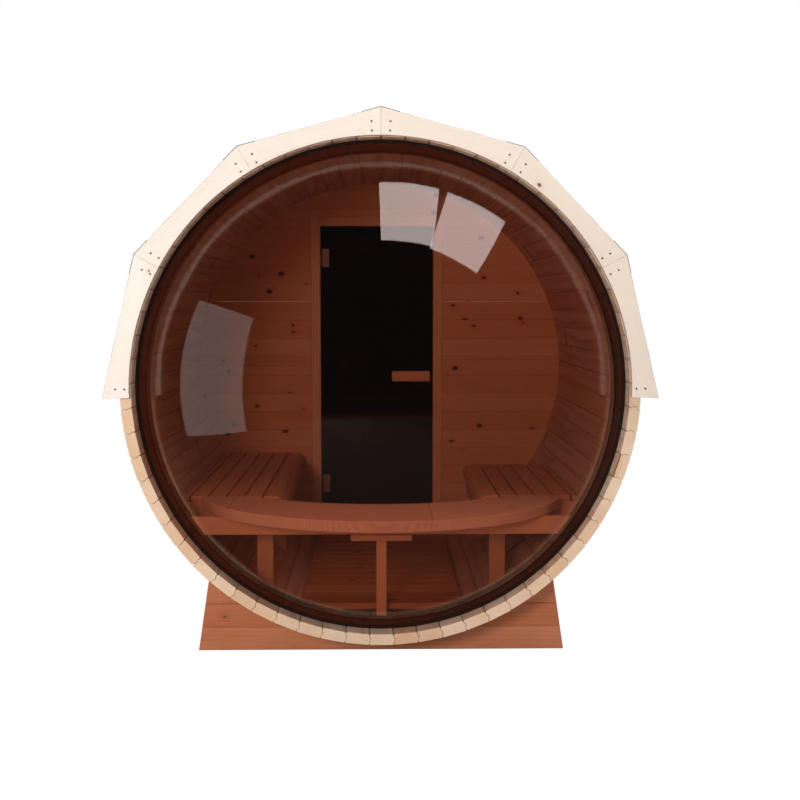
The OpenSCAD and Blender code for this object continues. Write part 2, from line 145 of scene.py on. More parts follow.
def wood(name, pale, dark, warm, knots=0.5, knot_r=0.008, contrast=0.36, gloss=0.62, by_object=False):
    """Softwood cut from a log: growth rings round a pith, fibres, knots and a tone for each board.
    Boards carry grain coordinates in metres: along, across and away from the pith."""
    t = Tree(name)
    if by_object:
        place = t.add("TexCoord").outputs["Object"]
        split = t.add("SeparateXYZ", {0: place})
        grain = t.add("CombineXYZ", {0: split.outputs[1], 1: split.outputs[0], 2: split.outputs[2]}).outputs[0]
        tone = t.noise(t.vector("MULTIPLY", grain, (0.2, 9, 9))).outputs[0]
    else:
        grain = t.add("Attribute", attribute_name="grain").outputs["Vector"]
        tone = t.add("Attribute", attribute_name="tone").outputs["Fac"]
    end = t.add("Attribute", attribute_name="end").outputs["Fac"]

    cell_x, cell_y = 0.31, 0.085
    cells = t.vector("MULTIPLY", grain, (1 / cell_x, 1 / cell_y, 0))
    voronoi = t.add("TexVoronoi", {"Vector": cells, "Scale": 1.0}, voronoi_dimensions="2D")
    centre = t.vector("MULTIPLY", voronoi.outputs["Position"], (cell_x, cell_y, 0))
    offset = t.vector("MULTIPLY", t.vector("SUBTRACT", grain, centre), (0.7, 1, 0))
    from_knot = t.vector("LENGTH", offset)
    chance = t.add("SeparateColor", {0: voronoi.outputs["Color"]}).outputs[0]
    size = t.math("MULTIPLY", t.ramp(chance, 1 - knots, 1.15), knot_r * 1.6)
    knot = t.math("SUBTRACT", 1, t.ramp(t.math("DIVIDE", from_knot, t.math("ADD", size, 0.0001)), 0.75, 1.1))
    halo = t.math("MULTIPLY", t.math("SUBTRACT", 1, t.ramp(from_knot, 0.0, 0.03)), t.ramp(size, 0, 0.004))

    wander = t.noise(t.vector("MULTIPLY", grain, (0.8, 5, 5)), 3).outputs["Color"]
    wander = t.vector("MULTIPLY", t.vector("SUBTRACT", wander, (0.5, 0.5, 0.5)), (0, 0.013, 0.013))
    pith = t.add("SeparateXYZ", {0: t.vector("ADD", grain, wander)})
    radius = t.math("SQRT", t.math("ADD", t.math("POWER", pith.outputs[1], 2), t.math("POWER", pith.outputs[2], 2)))
    radius = t.math("ADD", radius, t.math("MULTIPLY", halo, 0.012))
    phase = t.math("FRACT", t.math("MULTIPLY", radius, 1 / 0.0052))
    late = t.math("MULTIPLY", t.ramp(phase, 0.35, 0.95), t.math("SUBTRACT", 1, t.ramp(phase, 0.96, 1.0)))
    fibre = t.noise(t.vector("MULTIPLY", grain, (9, 620, 620)), 3, 0.6).outputs[0]
    patch = t.noise(t.vector("MULTIPLY", grain, (1.1, 12, 12)), 2).outputs[0]

    amount = t.math("MULTIPLY", late, contrast)
    amount = t.math("ADD", amount, t.math("MULTIPLY", t.math("SUBTRACT", fibre, 0.5), 0.55))
    amount = t.math("ADD", amount, t.math("MULTIPLY", t.math("SUBTRACT", patch, 0.5), 0.5))
    amount = t.math("ADD", amount, t.math("MULTIPLY", end, 0.22))
    amount = t.add("Clamp", {0: amount}).outputs[0]
    base = t.mix(t.math("MULTIPLY", tone, 0.9), pale, warm)
    shade = t.mix(amount, base, dark)
    ring_in_knot = t.math("FRACT", t.math("MULTIPLY", from_knot, 1 / 0.0017))
    knot_colour = t.mix(ring_in_knot, colour(120, 70, 38), colour(74, 38, 20))
    shade = t.mix(t.math("MULTIPLY", halo, 0.35), shade, dark)
    shade = t.mix(t.math("MULTIPLY", knot, 0.9), shade, knot_colour)

    height = t.math("ADD", t.math("MULTIPLY", fibre, 0.5), t.math("MULTIPLY", late, 0.25))
    height = t.math("SUBTRACT", height, t.math("MULTIPLY", knot, 0.5))
    bump = t.add("Bump", {"Strength": 0.35, "Distance": 0.0008, "Height": height})
    rough = t.math("ADD", gloss, t.math("MULTIPLY", fibre, 0.16))
    shader = t.add(
        "BsdfPrincipled",
        {"Base Color": shade, "Roughness": rough, "Normal": bump.outputs[0], "Specular IOR Level": 0.3},
    )
    return t.finish(shader.outputs[0])


def brushed_steel():
    t = Tree("steel")
    place = t.add("TexCoord").outputs["Object"]
    lines = t.noise(t.vector("MULTIPLY", place, (900, 900, 40)), 2).outputs[0]
    blotch = t.noise(t.vector("MULTIPLY", place, (14, 14, 14)), 3).outputs[0]
    rough = t.math("ADD", 0.26, t.math("MULTIPLY", blotch, 0.2))
    bump = t.add("Bump", {"Strength": 0.25, "Distance": 0.0003, "Height": lines})
    shade = t.mix(blotch, (0.72, 0.72, 0.71, 1), (0.58, 0.58, 0.59, 1))
    shader = t.add(
        "BsdfPrincipled", {"Base Color": shade, "Metallic": 0.65, "Roughness": rough, "Normal": bump.outputs[0]}
    )
    return t.finish(shader.outputs[0])


def bitumen():
    t = Tree("bitumen")
    place = t.add("TexCoord").outputs["Object"]
    grains = t.add("TexVoronoi", {"Vector": place, "Scale": 520.0})
    tone = t.add("Attribute", attribute_name="tone").outputs["Fac"]
    speck = t.add("SeparateColor", {0: grains.outputs["Color"]}).outputs[0]
    amount = t.math("ADD", t.math("MULTIPLY", speck, 0.65), t.math("MULTIPLY", tone, 0.35))
    shade = t.mix(amount, colour(38, 39, 42), colour(98, 98, 100))
    bump = t.add("Bump", {"Strength": 0.8, "Distance": 0.0012, "Height": grains.outputs["Distance"]})
    shader = t.add("BsdfPrincipled", {"Base Color": shade, "Roughness": 0.92, "Normal": bump.outputs[0]})
    return t.finish(shader.outputs[0])


def smoked_acrylic():
    """Each of the dome's two faces tints what is seen through it once."""
    t = Tree("smoked_acrylic")
    clear = t.add("BsdfTransparent", {"Color": (0.76, 0.60, 0.55, 1)})
    mirror = t.add("BsdfGlossy", {"Color": (1, 1, 1, 1), "Roughness": 0.012})
    facing = t.add("LayerWeight", {"Blend": 0.5}).outputs["Facing"]
    share = t.math("ADD", t.math("MULTIPLY", t.math("POWER", facing, 5), 0.5), 0.035)
    return t.finish(t.add("MixShader", {0: share, 1: clear.outputs[0], 2: mirror.outputs[0]}).outputs[0])


def dark_glass():
    t = Tree("dark_glass")
    place = t.add("TexCoord").outputs["Object"]
    smear = t.noise(t.vector("MULTIPLY", place, (3, 3, 1.4)), 3).outputs[0]
    rough = t.math("ADD", 0.03, t.math("MULTIPLY", smear, 0.05))
    shader = t.add(
        "BsdfPrincipled",
        {"Base Color": (0.006, 0.004, 0.004, 1), "Roughness": rough, "IOR": 1.5, "Specular IOR Level": 0.5},
    )
    return t.finish(shader.outputs[0])


def black_rubber():
    t = Tree("black_rubber")
    place = t.add("TexCoord").outputs["Object"]
    grain = t.noise(t.vector("MULTIPLY", place, (260, 260, 260)), 2).outputs[0]
    bump = t.add("Bump", {"Strength": 0.3, "Distance": 0.0004, "Height": grain})
    rough = t.math("ADD", 0.6, t.math("MULTIPLY", grain, 0.2))
    shader = t.add(
        "BsdfPrincipled",
        {"Base Color": (0.012, 0.009, 0.008, 1), "Roughness": rough, "Normal": bump.outputs[0]},
    )
    return t.finish(shader.outputs[0])


WOODS = {
    "stave_wood": dict(pale=colour(226, 203, 178), dark=colour(184, 138, 100), warm=colour(212, 172, 137)),
    "fascia_wood": dict(
        pale=colour(228, 218, 208), dark=colour(196, 172, 146), warm=colour(214, 195, 175), contrast=0.35, knot_r=0.005
    ),
    "wall_wood": dict(pale=colour(236, 200, 160), dark=colour(180, 118, 74), warm=colour(226, 178, 132), knots=0.75),
    "frame_wood": dict(pale=colour(240, 214, 180), dark=colour(196, 150, 104), warm=colour(230, 196, 156), knots=0.1),
    "bench_wood": dict(pale=colour(234, 196, 156), dark=colour(186, 130, 86), warm=colour(224, 180, 138), knots=0.3),
    "bench_top_wood": dict(
        pale=colour(240, 208, 180), dark=colour(200, 150, 112), warm=colour(232, 196, 164), knots=0.2
    ),
    "handle_wood": dict(pale=colour(238, 204, 164), dark=colour(196, 146, 98), warm=colour(230, 190, 146), knots=0.0),
    "floor_wood": dict(pale=colour(214, 172, 128), dark=colour(150, 100, 62), warm=colour(196, 148, 102), knots=0.6),
    "cradle_wood": dict(
        pale=colour(196, 128, 92), dark=colour(112, 54, 30), warm=colour(178, 100, 62),
        knots=0.8, contrast=0.7, knot_r=0.012,
    ),
}


# ---------------------------------------------------------------- mesh building


class Solids:
    """Collects the prisms of one piece, with wood coordinates for every corner."""

    def __init__(self):
        self.points, self.faces, self.grain, self.tones, self.ends, self.smooth = [], [], [], [], [], []

    def prism(self, outline, length, place, bevel=0.0015, along=2, tone=None, smooth=False):
        """An outline (u, v) run along w from 0 to length, with bevelled ends.
        place is the matrix from (u, v, w) to the row frame, and along is the grain's axis."""
        if area(outline) < 0:
            outline = list(reversed(outline))
        self.turned = place.determinant() < 0
        tone = random.random() if tone is None else tone
        shift = Vector((random.uniform(0, 40), random.uniform(-0.05, 0.05), random.uniform(0.02, 0.11)))
        small = inset(outline, bevel)
        rings = [(small, 0.0), (outline, bevel), (outline, length - bevel), (small, length)]
        first, count = len(self.points), len(outline)
        order = {0: (0, 1, 2), 1: (1, 0, 2), 2: (2, 0, 1)}[along]
        for ring, w in rings:
            for u, v in ring:
                here = (u, v, w)
                self.points.append(place @ Vector(here))
                self.grain.append(Vector([here[i] for i in order]) + shift)
        for r in range(len(rings) - 1):
            for i in range(count):
                a, b = first + r * count + i, first + r * count + (i + 1) % count
                self._face((a, b, b + count, a + count), tone, 0.0, smooth and r == 1)
        self._face([first + i for i in reversed(range(count))], tone, float(along == 2))
        self._face([first + 3 * count + i for i in range(count)], tone, float(along == 2))

    def _face(self, corners, tone, end, smooth=False):
        self.faces.append(tuple(reversed(corners)) if self.turned else tuple(corners))
        self.tones.append(tone)
        self.ends.append(end)
        self.smooth.append(smooth)

    def piece(self, name, material, body=CABIN, slot=None, nodes=()):
        mesh = bpy.data.meshes.new(name)
        mesh.from_pydata(self.points, [], self.faces)
        grain = mesh.attributes.new("grain", "FLOAT_VECTOR", "POINT")
        grain.data.foreach_set("vector", [c for g in self.grain for c in g])
        for title, values in (("tone", self.tones), ("end", self.ends)):
            mesh.attributes.new(title, "FLOAT", "FACE").data.foreach_set("value", values)
        mesh.polygons.foreach_set("use_smooth", self.smooth)
        mesh.materials.append(material)
        return settle(bpy.data.objects.new(name, mesh), body, nodes)


def settle(piece, body, nodes):
    """Puts a new piece in the scene on its body, and hides the nodes that it stands for."""
    scene.collection.objects.link(piece)
    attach(piece, body)
    if nodes:
        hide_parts(*nodes)
    return piece


def area(outline):
    return sum(a[0] * b[1] - b[0] * a[1] for a, b in zip(outline, outline[1:] + outline[:1])) / 2


def inset(outline, amount):
    """The outline moved in by amount along its corners' bisectors."""
    moved = []
    for i, here in enumerate(outline):
        here = Vector(here)
        before = (here - Vector(outline[i - 1])).normalized()
        after = (Vector(outline[(i + 1) % len(outline)]) - here).normalized()
        n1, n2 = Vector((before.y, -before.x)), Vector((after.y, -after.x))
        moved.append(tuple(here - (n1 + n2) * (amount / max(0.4, 1 + n1.dot(n2)))))
    return moved


def rectangle(u0, u1, v0, v1, corner=0.0015):
    """A rectangle with rounded corners."""
    steps = 1 if corner < 0.003 else 5
    points = []
    for cu, cv, start in ((u1, v1, 0), (u0, v1, 90), (u0, v0, 180), (u1, v0, 270)):
        mu = cu - corner if cu == u1 else cu + corner
        mv = cv - corner if cv == v1 else cv + corner
        for s in range(steps + 1):
            a = math.radians(start + 90 * s / steps)
            points.append((mu + corner * math.cos(a), mv + corner * math.sin(a)))
    return points


def circle(radius, count=180):
    turns = [2 * math.pi * i / count for i in range(count)]
    return [(radius * math.cos(a), radius * math.sin(a)) for a in turns]


def cut(outline, normal, limit):
    """The part of a convex outline where the product with normal is under limit."""
    kept = []
    for i, here in enumerate(outline):
        there = outline[(i + 1) % len(outline)]
        a = here[0] * normal[0] + here[1] * normal[1] - limit
        b = there[0] * normal[0] + there[1] * normal[1] - limit
        if a <= 0:
            kept.append(here)
        if (a < 0 < b) or (b < 0 < a):
            s = a / (a - b)
            kept.append((here[0] + s * (there[0] - here[0]), here[1] + s * (there[1] - here[1])))
    return kept


def window(outline, u0, u1, v0, v1):
    """The part of a convex outline inside a rectangle."""
    for normal, limit in (((1, 0), u1), ((-1, 0), -u0), ((0, 1), v1), ((0, -1), -v0)):
        if outline:
            outline = cut(outline, normal, limit)
    return outline


def across(y, angle=0.0):
    """Places an outline (x, height above the axis) across the barrel; w runs towards the door."""
    turn = Matrix.Rotation(angle, 4, "Z")
    return Matrix.Translation((0, y, AXIS_Z)) @ Matrix(((1, 0, 0, 0), (0, 0, 1, 0), (0, 1, 0, 0), (0, 0, 0, 1))) @ turn


def upright(z=0.0):
    """Places an outline (x, y) seen from above; w runs up."""
    return Matrix.Translation((0, 0, z))


def crosswise(x=0.0):
    """Places an outline (y, z) seen from the side; w runs along x."""
    return Matrix(((0, 0, 1, x), (1, 0, 0, 0), (0, 1, 0, 0), (0, 0, 0, 1)))


# ---------------------------------------------------------------- barrel

BEAD = 0.0055


def stave_outline():
    """A stave's section, radial along u, with a bead on one edge and a cove on the other."""
    inner, outer = INNER_FLAT, OUTER_FLAT
    half = STAVE_STEP / 2
    edge = 0.0034
    gap = 0.0009

    def side(radius, sign):
        return sign * (radius * math.tan(half) - gap)

    def bead(sign):
        found = []
        for s in range(9):
            share = s / 8
            radius = inner + STAVE_T * (0.26 + 0.48 * share)
            found.append((radius, side(radius, sign) + BEAD * math.sin(math.pi * share)))
        return found

    right = [(inner, side(inner, 1) - edge), (inner + edge, side(inner + edge, 1))]
    right += bead(1) + [(outer - edge, side(outer - edge, 1)), (outer, side(outer, 1) - edge)]
    left = [(inner, side(inner, -1) + edge), (inner + edge, side(inner + edge, -1))]
    left += bead(-1) + [(outer - edge, side(outer - edge, -1)), (outer, side(outer, -1) + edge)]
    return left + list(reversed(right))


def make_staves(material):
    outline = stave_outline()
    length = DOOR_END_Y - WINDOW_Y
    brown = {1}
    for group in range(13):
        solids = Solids()
        for i in range(5):
            number = group * 5 + i - 2
            angle = -math.pi / 2 + number * STAVE_STEP
            step_in = random.uniform(0, 0.0012)
            tone = 1.0 if number in brown else random.uniform(0, 0.75) ** 1.4
            place = across(WINDOW_Y, angle) @ Matrix.Translation((-step_in, 0, 0))
            solids.prism(outline, length, place, 0.0012, tone=tone)
        node = "stave_group_%02d" % (group + 1)
        solids.piece("staves_%02d" % (group + 1), material, slot="stave_wood", nodes=(node,))


def make_cradles(material):
    board_h, lean = 0.095, math.tan(math.radians(8.6))
    for node in ("window_cradle", "door_cradle"):
        low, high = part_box(node)
        solids = Solids()
        cut_r = BARREL_R + FIT
        for i in range(3):
            z0, z1 = i * board_h, (i + 1) * board_h - FIT
            x0, x1 = high.x - lean * z0, high.x - lean * z1
            tone = (0.25, 0.7, 0.4)[i]
            steps = 16
            arc = []
            start = max(z0, AXIS_Z - cut_r)
            for s in range(steps + 1):
                z = z1 + (start - z1) * s / steps
                arc.append((math.sqrt(max(0, cut_r**2 - (z - AXIS_Z) ** 2)), z - AXIS_Z))
            if start > z0:
                right = [(x0, z0 - AXIS_Z), (x1, z1 - AXIS_Z)] + arc[:-1] + [(0.0, start - AXIS_Z)]
                mirrored = [(-x, z) for x, z in reversed(right[:-1])]
                outlines = [right + mirrored]
            else:
                right = [(x0, z0 - AXIS_Z), (x1, z1 - AXIS_Z)] + arc
                outlines = [right, [(-x, z) for x, z in reversed(right)]]
            for outline in outlines:
                solids.prism(outline, high.y - low.y, across(low.y), 0.003, along=0, tone=tone)
        solids.piece(node + "_boards", material, slot="cradle_wood", nodes=(node,))


# ---------------------------------------------------------------- roof

ROOF_SIDES = 6


def roof_sizes():
    """The roof's low angle, step and outer distance from the axis, from the fascia box."""
    low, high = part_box("window_fascia")
    drop = AXIS_Z - low.z
    start = -math.atan2(drop, high.x)
    step = (math.pi - 2 * start) / ROOF_SIDES
    return start, step, (high.z - AXIS_Z) * math.cos(step / 2)


def fascia_outline(step, apothem, inner_r):
    """One fascia board about u = 0, with v pointing out."""
    half = step / 2 - 0.0002
    edge = [(-apothem * math.tan(half), apothem), (apothem * math.tan(half), apothem)]
    steps = 14
    arc = []
    for s in range(steps + 1):
        a = half - 2 * half * s / steps
        arc.append((inner_r * math.sin(a), inner_r * math.cos(a)))
    return edge + arc


def make_fascias(material, steel):
    start, step, apothem = roof_sizes()
    inner_r = INNER_FLAT / math.cos(STAVE_STEP / 2) + 0.001
    for node in ("window_fascia", "door_fascia"):
        low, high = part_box(node)
        solids, screws = Solids(), Solids()
        front = low.y if node == "window_fascia" else high.y
        for k in range(ROOF_SIDES):
            middle = start + (k + 0.5) * step - math.pi / 2
            outline = fascia_outline(step, apothem, inner_r)
            # Painted shade: the tone steps from pale on the left side of the roof to darker on the right, standing in
            # for light falling from the front left.
            tone = 0.1 + 0.75 * (ROOF_SIDES - 1 - k) / ROOF_SIDES + random.uniform(-0.1, 0.1)
            solids.prism(outline, high.y - low.y, across(low.y, middle), 0.0015, along=0, tone=tone)
            for side in (-1, 1):
                for out in (0.016, 0.05):
                    a = middle + side * (step / 2 - 0.035)
                    screw_head(screws, -math.sin(a) * (inner_r + out), math.cos(a) * (inner_r + out), front, node)
        solids.piece(node + "_boards", material, slot="fascia_wood", nodes=(node,))
        screws.piece(node + "_screws", steel, slot="steel")


def screw_head(solids, x, z, y, node):
    """A screw's head let flush into a face across the barrel."""
    depth = 0.0024
    start = y if node == "window_fascia" else y - depth
    place = across(start) @ Matrix.Translation((x, z, 0))
    solids.prism(circle(0.0042, 14), depth, place, 0.0005, tone=0.5, smooth=True)


def make_shingles(material):
    """Courses of cut tabs on each side of the roof, and bent strips over its corners."""
    low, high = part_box("roof_shingles")
    start, step, deck = roof_sizes()
    outer = (high.z - AXIS_Z) * math.cos(step / 2)
    side = 2 * outer * math.tan(step / 2)
    length = high.y - low.y
    solids = Solids()
    thick, rows, tabs = 0.0016, 4, 9
    under = Solids()
    for k in range(ROOF_SIDES):
        middle = start + (k + 0.5) * step - math.pi / 2
        place = across(low.y, middle)
        sheet = rectangle(-side / 2 + 0.002, side / 2 - 0.002, deck + FIT, deck + 0.0013, 0.0002)
        under.prism(sheet, length, place, 0.0004, tone=0.2)
        downhill = 1 if k < ROOF_SIDES / 2 else -1
        course = side / rows
        for r in range(rows):
            for n in range(tabs + 1):
                y0 = (n - 0.5 * (r % 2)) * length / tabs + 0.003
                y1 = y0 + length / tabs - 0.006
                y0, y1 = max(0.0, y0), min(length, y1)
                if y1 - y0 < 0.03:
                    continue
                tab_cut = min(0.03, (y1 - y0) / 4)
                far, near = side / 2 - r * course, side / 2 - (r + 1) * course - 0.02
                near = max(near, -side / 2 + 0.004)
                outline = [
                    (downhill * near, y0), (downhill * (far - 0.022), y0), (downhill * far, y0 + tab_cut),
                    (downhill * far, y1 - tab_cut), (downhill * (far - 0.022), y1), (downhill * near, y1),
                ]
                # (u, y) seen from outside; w runs out from the axis, lifted at the low edge
                lift = Matrix(((1, 0, 0, 0), (0, 0, 1, 0), (0, 1, 0, 0), (0, 0, 0, 1)))
                tilt = Matrix.Rotation(-downhill * 0.0075, 4, "Y")
                base = Matrix.Translation((0, 0, outer - thick - 0.0034))
                pivot = Matrix.Translation((downhill * near, 0, 0))
                solids.prism(outline, thick, place @ lift @ base @ pivot @ tilt @ pivot.inverted(), 0.0003)
    solids.piece("shingle_tabs", material, slot="bitumen", nodes=("roof_shingles",))
    under.piece("shingle_underlay", material, slot="bitumen")
    make_corner_strips(material, start, step, outer, low.y, length)


def make_corner_strips(material, start, step, outer, y, length):
    solids = Solids()
    reach, thick, count = 0.07, 0.0016, 10
    for k in range(1, ROOF_SIDES):
        angle = start + k * step - math.pi / 2
        tip = outer / math.cos(step / 2) - 0.0012
        slope = math.tan(step / 2)
        top = [(reach, tip - reach * slope), (0, tip), (-reach, tip - reach * slope)]
        outline = top + [(u, v - thick) for u, v in reversed(top)]
        for n in range(count):
            place = across(y + n * length / count, angle)
            solids.prism(outline, length / count - 0.002, place, 0.0003)
    solids.piece("shingle_corners", material, slot="bitumen")


# ---------------------------------------------------------------- domed window

DOME_T = 0.006
DOME_R = BORE_R - 0.0416
SHOULDER_R = 0.220


def dome_profile(inset_by):
    """(radius, height) from the apex to the base: a crown arc and a shoulder arc."""
    low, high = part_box("dome_window")
    depth = high.y - low.y - DOME_T
    shoulder_x = DOME_R - SHOULDER_R
    crown_r = (shoulder_x**2 + depth**2 - SHOULDER_R**2) / (2 * (depth - SHOULDER_R))
    crown_h = depth - crown_r
    tangent = math.atan2(-crown_h, shoulder_x)
    points = []
    for s in range(40):
        a = math.pi / 2 + (tangent - math.pi / 2) * s / 40
        points.append(((crown_r - inset_by) * math.cos(a), crown_h + (crown_r - inset_by) * math.sin(a)))
    points[0] = (0.0, points[0][1])
    for s in range(25):
        a = tangent * (1 - s / 24)
        points.append((shoulder_x + (SHOULDER_R - inset_by) * math.cos(a), (SHOULDER_R - inset_by) * math.sin(a)))
    return points


def revolve(name, profile, base_y, material, nodes=(), segments=160):
    """A profile (radius, height) turned about the barrel's axis; height runs towards the window end."""
    points, faces, rings = [], [], []
    for radius, height in profile:
        rings.append(len(points))
        if radius == 0:
            points.append((0, base_y - height, AXIS_Z))
            continue
        for s in range(segments):
            a = 2 * math.pi * s / segments
            points.append((radius * math.cos(a), base_y - height, AXIS_Z + radius * math.sin(a)))
    for i in range(len(profile)):
        j = (i + 1) % len(profile)
        for s in range(segments):
            t = (s + 1) % segments
            corners = []
            if profile[i][0] == 0 and profile[j][0] == 0:
                continue
            corners += [rings[i]] if profile[i][0] == 0 else [rings[i] + s, rings[i] + t]
            corners += [rings[j]] if profile[j][0] == 0 else [rings[j] + t, rings[j] + s]
            faces.append(corners)
    mesh = bpy.data.meshes.new(name)
    mesh.from_pydata(points, [], faces)
    mesh.polygons.foreach_set("use_smooth", [True] * len(faces))
    mesh.materials.append(material)
    mesh.set_sharp_from_angle(angle=math.radians(40))
    return settle(bpy.data.objects.new(name, mesh), CABIN, nodes)


def make_dome(acrylic, rubber):
    low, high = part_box("dome_window")
    flange_y = high.y - DOME_T
    flange_r = (high.z - low.z) / 2
    outer, inner = dome_profile(0), dome_profile(DOME_T)
    fillet = [(DOME_R + 0.008 * (1 - math.cos(a)), 0.008 * (1 - math.sin(a))) for a in (0.5, 1.0, 1.57)]
    outer = [p for p in outer if p[1] > 0.008] + fillet
    rim = [(flange_r - 0.001, 0), (flange_r, -0.001), (flange_r, -DOME_T + 0.001), (flange_r - 0.001, -DOME_T)]
    profile = outer + rim + [(DOME_R - DOME_T, -DOME_T)] + list(reversed(inner))
    revolve("smoked_dome", list(reversed(profile)), flange_y, acrylic, ("dome_window",))
    seal = [(flange_r - 0.0005, 0.0015), (BORE_R - 0.0003, 0.0), (BORE_R - 0.0003, 0.007), (flange_r - 0.006, 0.006)]
    seal = [(r, h + 0.0002) for r, h in seal]
    revolve("dome_seal", list(reversed(seal)), flange_y, rubber, segments=128)
    screws = Solids()
    count = 24
    middle = (DOME_R + flange_r) / 2 + 0.004
    for i in range(count):
        a = 2 * math.pi * (i + 0.5) / count
        place = across(flange_y - 0.0026) @ Matrix.Translation((middle * math.cos(a), middle * math.sin(a), 0))
        screws.prism(circle(0.0055, 16), 0.0024, place, 0.0008, smooth=True)
    screws.piece("dome_screws", rubber, slot="steel")


# ---------------------------------------------------------------- door wall and door

WALL_JOINT = -0.535
WALL_PITCH = 0.0963


def make_door_wall(material):
    low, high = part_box("door_wall_left")
    wall_r = max(-low.x, high.z - AXIS_Z)
    disc = circle(wall_r, 240)
    for name in ("left", "right", "over", "under"):
        node = "door_wall_" + name
        box_low, box_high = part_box(node)
        solids = Solids()
        first = math.floor((box_low.z - AXIS_Z - WALL_JOINT) / WALL_PITCH)
        last = math.ceil((box_high.z - AXIS_Z - WALL_JOINT) / WALL_PITCH)
        for k in range(first, last):
            z0 = max(WALL_JOINT + k * WALL_PITCH + 0.0002, box_low.z - AXIS_Z)
            z1 = min(WALL_JOINT + (k + 1) * WALL_PITCH - 0.0002, box_high.z - AXIS_Z)
            if z1 - z0 < 0.006:
                continue
            outline = window(disc, box_low.x, box_high.x, z0, z1)
            if len(outline) > 2:
                random.seed(900 + k)
                tone = random.random()
                random.seed(1000 * len(name) + k)
                solids.prism(outline, high.y - low.y, across(low.y), 0.0022, along=0, tone=tone)
        solids.piece(node + "_boards", material, slot="wall_wood", nodes=(node,))


def make_door_frame(material):
    jamb_low, jamb_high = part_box("door_jambs")
    glass_low, glass_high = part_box("door_glass")
    clear, width = 0.006, 0.047
    stop_y = glass_low.y - clear
    solids = Solids()
    middle = (jamb_low.x + jamb_high.x) / 2
    edge = 0.002
    for side in (-1, 1):
        outer = jamb_high.x - middle
        inner = outer - width
        rebate = glass_high.x - middle + clear
        outline = [
            (inner + edge, jamb_low.y), (outer - edge, jamb_low.y), (outer, jamb_low.y + edge),
            (outer, jamb_high.y - edge), (outer - edge, jamb_high.y), (rebate, jamb_high.y), (rebate, stop_y),
            (inner, stop_y), (inner, jamb_low.y + edge),
        ]
        outline = [(middle + side * u, v) for u, v in outline]
        solids.prism(outline, jamb_high.z - jamb_low.z, upright(jamb_low.z), 0.0015, tone=0.3 + 0.2 * side)
    solids.piece("door_jamb_posts", material, slot="frame_wood", nodes=("door_jambs",))
    for node, up in (("door_head", 1), ("door_sill", -1)):
        low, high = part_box(node)
        rebate = glass_high.z + clear if up > 0 else glass_low.z - clear
        inner, outer = (low.z, high.z) if up > 0 else (high.z, low.z)
        outline = [
            (low.y, inner + up * edge), (low.y + edge, inner), (stop_y, inner), (stop_y, rebate), (high.y, rebate),
            (high.y, outer - up * edge), (high.y - edge, outer), (low.y + edge, outer), (low.y, outer - up * edge),
        ]
        solids = Solids()
        solids.prism(outline, high.x - low.x, crosswise(low.x), 0.001, tone=0.4)
        solids.piece(node + "_rail", material, slot="frame_wood", nodes=(node,))


def make_door(glass, wood_material, steel):
    low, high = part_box("door_glass")
    pane = Solids()
    pane.prism(rectangle(low.x, high.x, low.z, high.z, 0.004), high.y - low.y, wall_place(low.y), 0.0012)
    pane.piece("door_pane", glass, DOOR, "door_glass", ("door_glass",))
    for node in ("inner_handle", "outer_handle"):
        low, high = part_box(node)
        inside = node == "inner_handle"
        bar_t = 0.028
        bar_y = low.y if inside else high.y - bar_t
        bar, pegs = Solids(), Solids()
        outline = rectangle(low.x, high.x, low.z, high.z, 0.006)
        bar.prism(outline, bar_t, wall_place(bar_y), 0.005, along=0, tone=0.4)
        bar.piece(node + "_bar", wood_material, DOOR, "handle_wood", (node,))
        middle_z = (low.z + high.z) / 2
        for x in (low.x + 0.035, high.x - 0.035):
            peg = [(x + u, middle_z + v) for u, v in circle(0.010, 28)]
            y0 = bar_y + bar_t if inside else low.y
            pegs.prism(peg, high.y - low.y - bar_t, wall_place(y0), 0.0008, smooth=True)
            cap = [(x + u, middle_z + v) for u, v in circle(0.0065, 20)]
            cap_y = bar_y + 0.0002 if inside else bar_y + bar_t - 0.0018
            pegs.prism(cap, 0.0016, wall_place(cap_y), 0.0005, smooth=True)
        pegs.piece(node + "_pegs", steel, DOOR, "steel")
    make_hinge_screws(steel)


def wall_place(y):
    """Places an outline (x, z) in the row frame; w runs towards the door end."""
    return Matrix(((1, 0, 0, 0), (0, 0, 1, y), (0, 1, 0, 0), (0, 0, 0, 1)))


def make_hinge_screws(steel):
    low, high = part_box("hinge_leaves")
    base_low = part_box("hinge_bases")[0]
    glass_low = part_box("door_glass")[0]
    height = 0.095
    leaf, base = Solids(), Solids()
    for z in (low.z + height / 2, high.z - height / 2):
        for dz in (-0.032, 0.032):
            inner = [(glass_low.x + 0.0335 + u, z + dz + v) for u, v in circle(0.0045, 16)]
            leaf.prism(inner, 0.0016, wall_place(low.y - 0.0012), 0.0005, smooth=True)
            outer = [(base_low.x + 0.012 + u, z + dz + v) for u, v in circle(0.0042, 16)]
            base.prism(outer, 0.0016, wall_place(base_low.y + 0.0034), 0.0005, smooth=True)
    leaf.piece("hinge_leaf_screws", steel, DOOR, "steel")
    base.piece("hinge_base_screws", steel, CABIN, "steel")


# ---------------------------------------------------------------- benches and floor

NOSE_R = 0.040
NOSE_W = 0.080
SLAT_W = 0.066
SLAT_GAP = 0.008
SLAT_T = 0.024
RAIL_T = 0.028


def nose_outline(x0, z1, z0, side):
    points = [(x0 + NOSE_W, z0), (x0 + NOSE_W, z1 - 0.003), (x0 + NOSE_W - 0.003, z1)]
    for s in range(13):
        a = math.radians(90 + 90 * s / 12)
        points.append((x0 + NOSE_R + NOSE_R * math.cos(a), z1 - NOSE_R + NOSE_R * math.sin(a)))
    points += [(x0, z0 + 0.004), (x0 + 0.004, z0)]
    return [(side * u, v) for u, v in points] if side > 0 else [(side * u, v) for u, v in reversed(points)]


